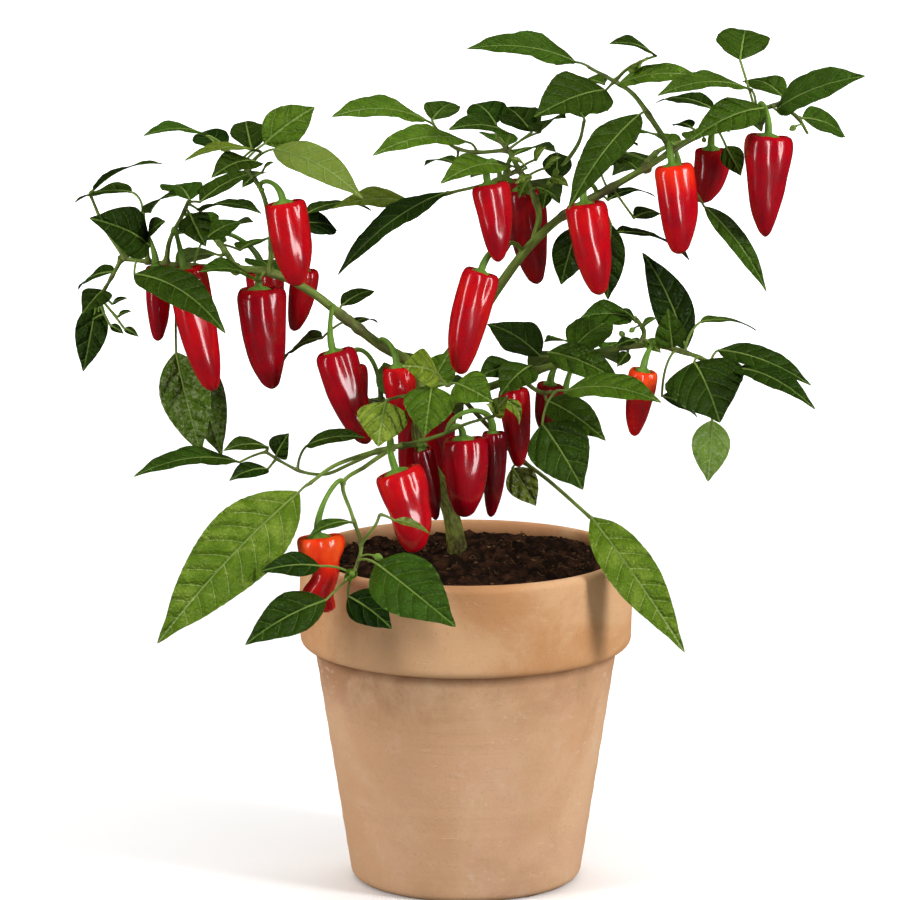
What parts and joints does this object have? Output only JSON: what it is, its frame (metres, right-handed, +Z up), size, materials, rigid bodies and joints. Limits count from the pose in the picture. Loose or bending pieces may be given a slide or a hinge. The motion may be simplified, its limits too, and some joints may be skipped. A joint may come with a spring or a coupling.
{
  "type": "potted chilli pepper plant",
  "caption": "Chilli pepper plant with a woody stem, leafy spreading shoots and hanging ripe pods, growing in soil in a round terracotta pot with a rolled rim.",
  "frame": {"origin": "centre of the pot's foot, on the surface the pot stands on", "axes": "+Z up along the pot's axis; -Y is the front of the plant as pictured, +X is to the right of it"},
  "size_m": [0.5236, 0.3334, 0.5695],
  "materials": {
    "terracotta": "unglazed fired clay, matt, with pale bloom and scuffs",
    "soil": "loose dark potting soil, rough",
    "stem": "green young bark, satin",
    "foliage": "living leaf, satin, veined",
    "red_pod": "waxy glossy skin of a ripe pod",
    "orange_pod": "waxy glossy skin of a ripening pod"
  },
  "bodies": {
    "root": {"pot": "terracotta", "soil": "soil", "trunk": "stem", "left_limb": "foliage", "right_limb": "foliage", "upper_centre_shoot": "foliage", "centre_shoot": "foliage", "lower_left_shoot": "foliage", "lower_right_shoot": "foliage", "back_shoot": "foliage", "pod_upper_left_1": "red_pod", "pod_upper_left_2": "red_pod", "pod_upper_left_3": "red_pod", "pod_upper_left_4": "red_pod", "pod_upper_left_5": "red_pod", "pod_upper_left_6": "red_pod", "pod_upper_left_7": "red_pod", "pod_upper_left_8": "red_pod", "pod_centre_1": "red_pod", "pod_right_1": "red_pod", "pod_right_2": "red_pod", "pod_right_3": "red_pod", "pod_right_4": "red_pod", "pod_right_5": "red_pod", "pod_upper_centre_1": "red_pod", "pod_upper_centre_2": "red_pod", "pod_upper_centre_3": "red_pod", "pod_centre_2": "red_pod", "pod_centre_3": "red_pod", "pod_centre_4": "red_pod", "pod_lower_left_1": "red_pod", "pod_lower_left_2": "orange_pod", "pod_lower_right_1": "red_pod", "pod_lower_right_2": "red_pod", "pod_lower_right_3": "orange_pod", "pod_lower_right_4": "red_pod", "pod_back_1": "red_pod", "pod_back_2": "red_pod", "pod_back_3": "red_pod"}
  },
  "joints": []
}
